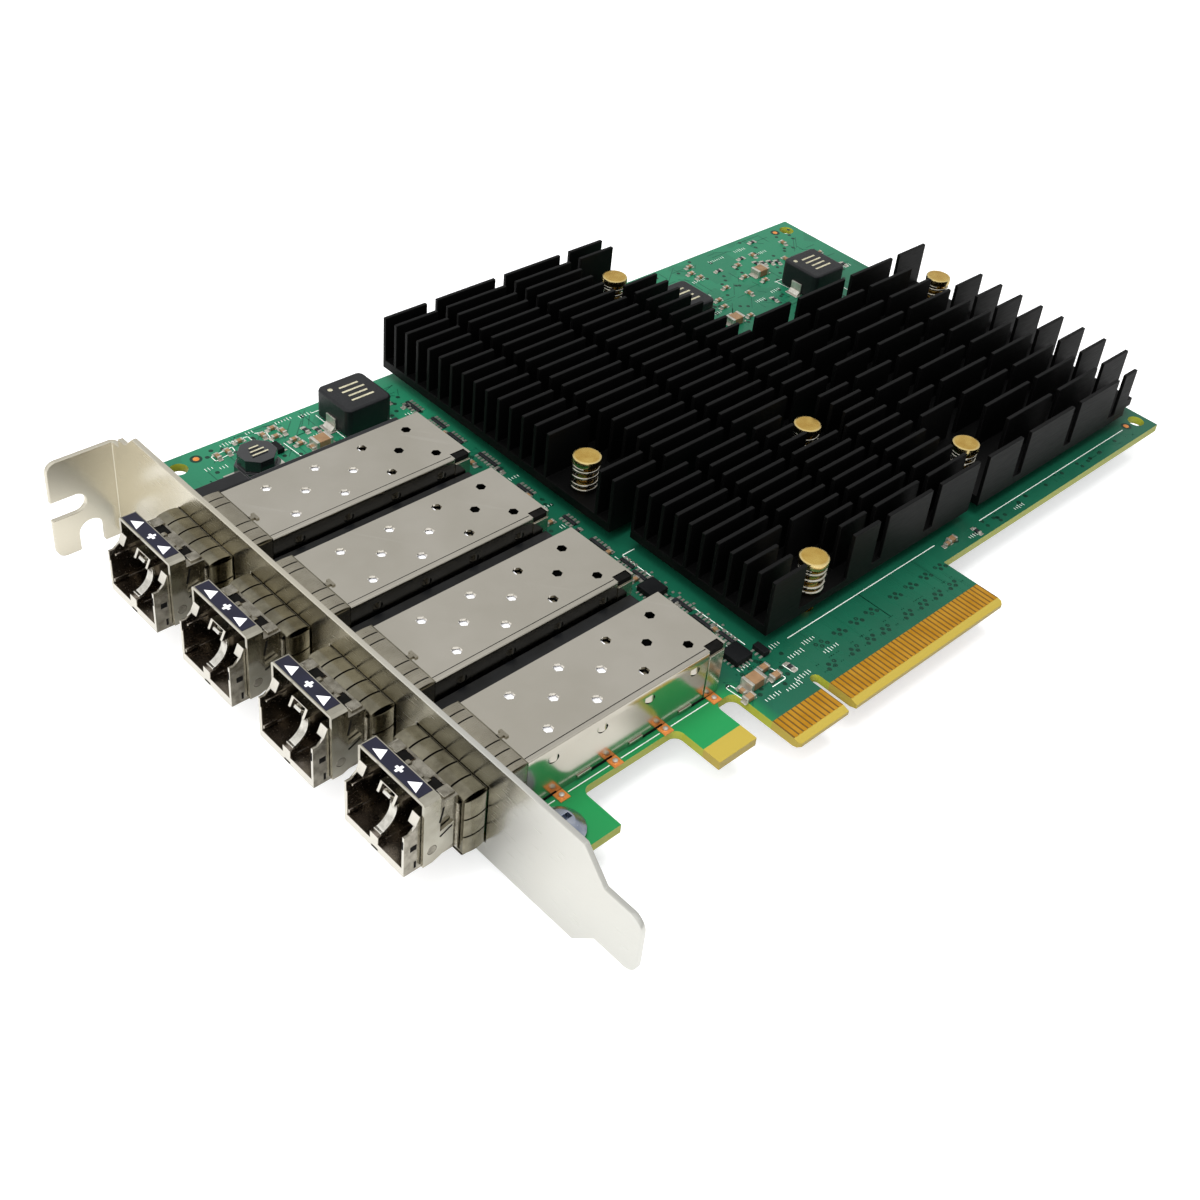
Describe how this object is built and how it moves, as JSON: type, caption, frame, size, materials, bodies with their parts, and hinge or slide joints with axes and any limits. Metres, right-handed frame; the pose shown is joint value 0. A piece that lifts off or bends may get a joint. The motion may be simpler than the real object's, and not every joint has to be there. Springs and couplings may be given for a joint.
{
  "type": "fibre channel adapter",
  "caption": "Full-height expansion card with an optical transceiver in each shielded cage, finned heat sinks, slot bracket and gold edge contacts",
  "frame": {"origin": "lower end of the edge contacts, at the middle of the key notch, on the component face of the board", "axes": "+X from the slot bracket to the rear edge, +Y from the edge contacts to the upper board edge, +Z out of the component face"},
  "size_m": [0.1803, 0.1249, 0.0225],
  "materials": {
    "board": null,
    "gold": null,
    "bracket_steel": null,
    "screw_zinc": null,
    "anodised": null,
    "package": null,
    "thermal_pad": null,
    "brass_pin": null,
    "spring_wire": null,
    "cage_nickel": null,
    "collar_nickel": null,
    "connector_plastic": null,
    "diecast_nickel": null,
    "module_laminate": null,
    "sleeve": null,
    "bail_nickel": null,
    "black_strip": null,
    "inductor_black": null,
    "tinned": null,
    "ferrite": null,
    "ceramic_brown": null,
    "copper_pad": null
  },
  "bodies": {
    "card": {"circuit_board": "board", "edge_contacts": "gold", "bracket": "bracket_steel", "bracket_screw": "screw_zinc", "heat_sink_upper": "anodised", "heat_sink_lower": "anodised", "heat_sink_rear": "anodised", "controller_upper": "package", "controller_lower": "package", "controller_rear": "package", "thermal_pads": "thermal_pad", "push_pins": "brass_pin", "pin_springs": "spring_wire", "cage_1": "cage_nickel", "cage_2": "cage_nickel", "cage_3": "cage_nickel", "cage_4": "cage_nickel", "cage_collar_1": "collar_nickel", "cage_collar_2": "collar_nickel", "cage_collar_3": "collar_nickel", "cage_collar_4": "collar_nickel", "host_connectors": "connector_plastic", "module_housing_1": "diecast_nickel", "module_housing_2": "diecast_nickel", "module_housing_3": "diecast_nickel", "module_housing_4": "diecast_nickel", "module_board_1": "module_laminate", "module_board_2": "module_laminate", "module_board_3": "module_laminate", "module_board_4": "module_laminate", "module_optics_1": "sleeve", "module_optics_2": "sleeve", "module_optics_3": "sleeve", "module_optics_4": "sleeve", "light_pipes": "black_strip", "power_inductors": "inductor_black", "inductor_terminals": "tinned", "shielded_inductor": "ferrite", "ceramic_capacitors": "ceramic_brown", "small_chips": "package", "press_fit_pads": "copper_pad"},
    "bail_body_1": {"bail_1": "bail_nickel"},
    "bail_body_2": {"bail_2": "bail_nickel"},
    "bail_body_3": {"bail_3": "bail_nickel"},
    "bail_body_4": {"bail_4": "bail_nickel"}
  },
  "joints": [
    {"name": "bail_hinge_1", "type": "hinge", "parent": "card", "child": "bail_body_1", "pos_m": [-0.0674, 0.08046, 0.004], "axis": [0, -1, 0], "range_deg": [0, 90]},
    {"name": "bail_hinge_2", "type": "hinge", "parent": "card", "child": "bail_body_2", "pos_m": [-0.0674, 0.06107, 0.004], "axis": [0, -1, 0], "range_deg": [0, 90]},
    {"name": "bail_hinge_3", "type": "hinge", "parent": "card", "child": "bail_body_3", "pos_m": [-0.0674, 0.04168, 0.004], "axis": [0, -1, 0], "range_deg": [0, 90]},
    {"name": "bail_hinge_4", "type": "hinge", "parent": "card", "child": "bail_body_4", "pos_m": [-0.0674, 0.02229, 0.004], "axis": [0, -1, 0], "range_deg": [0, 90]}
  ]
}
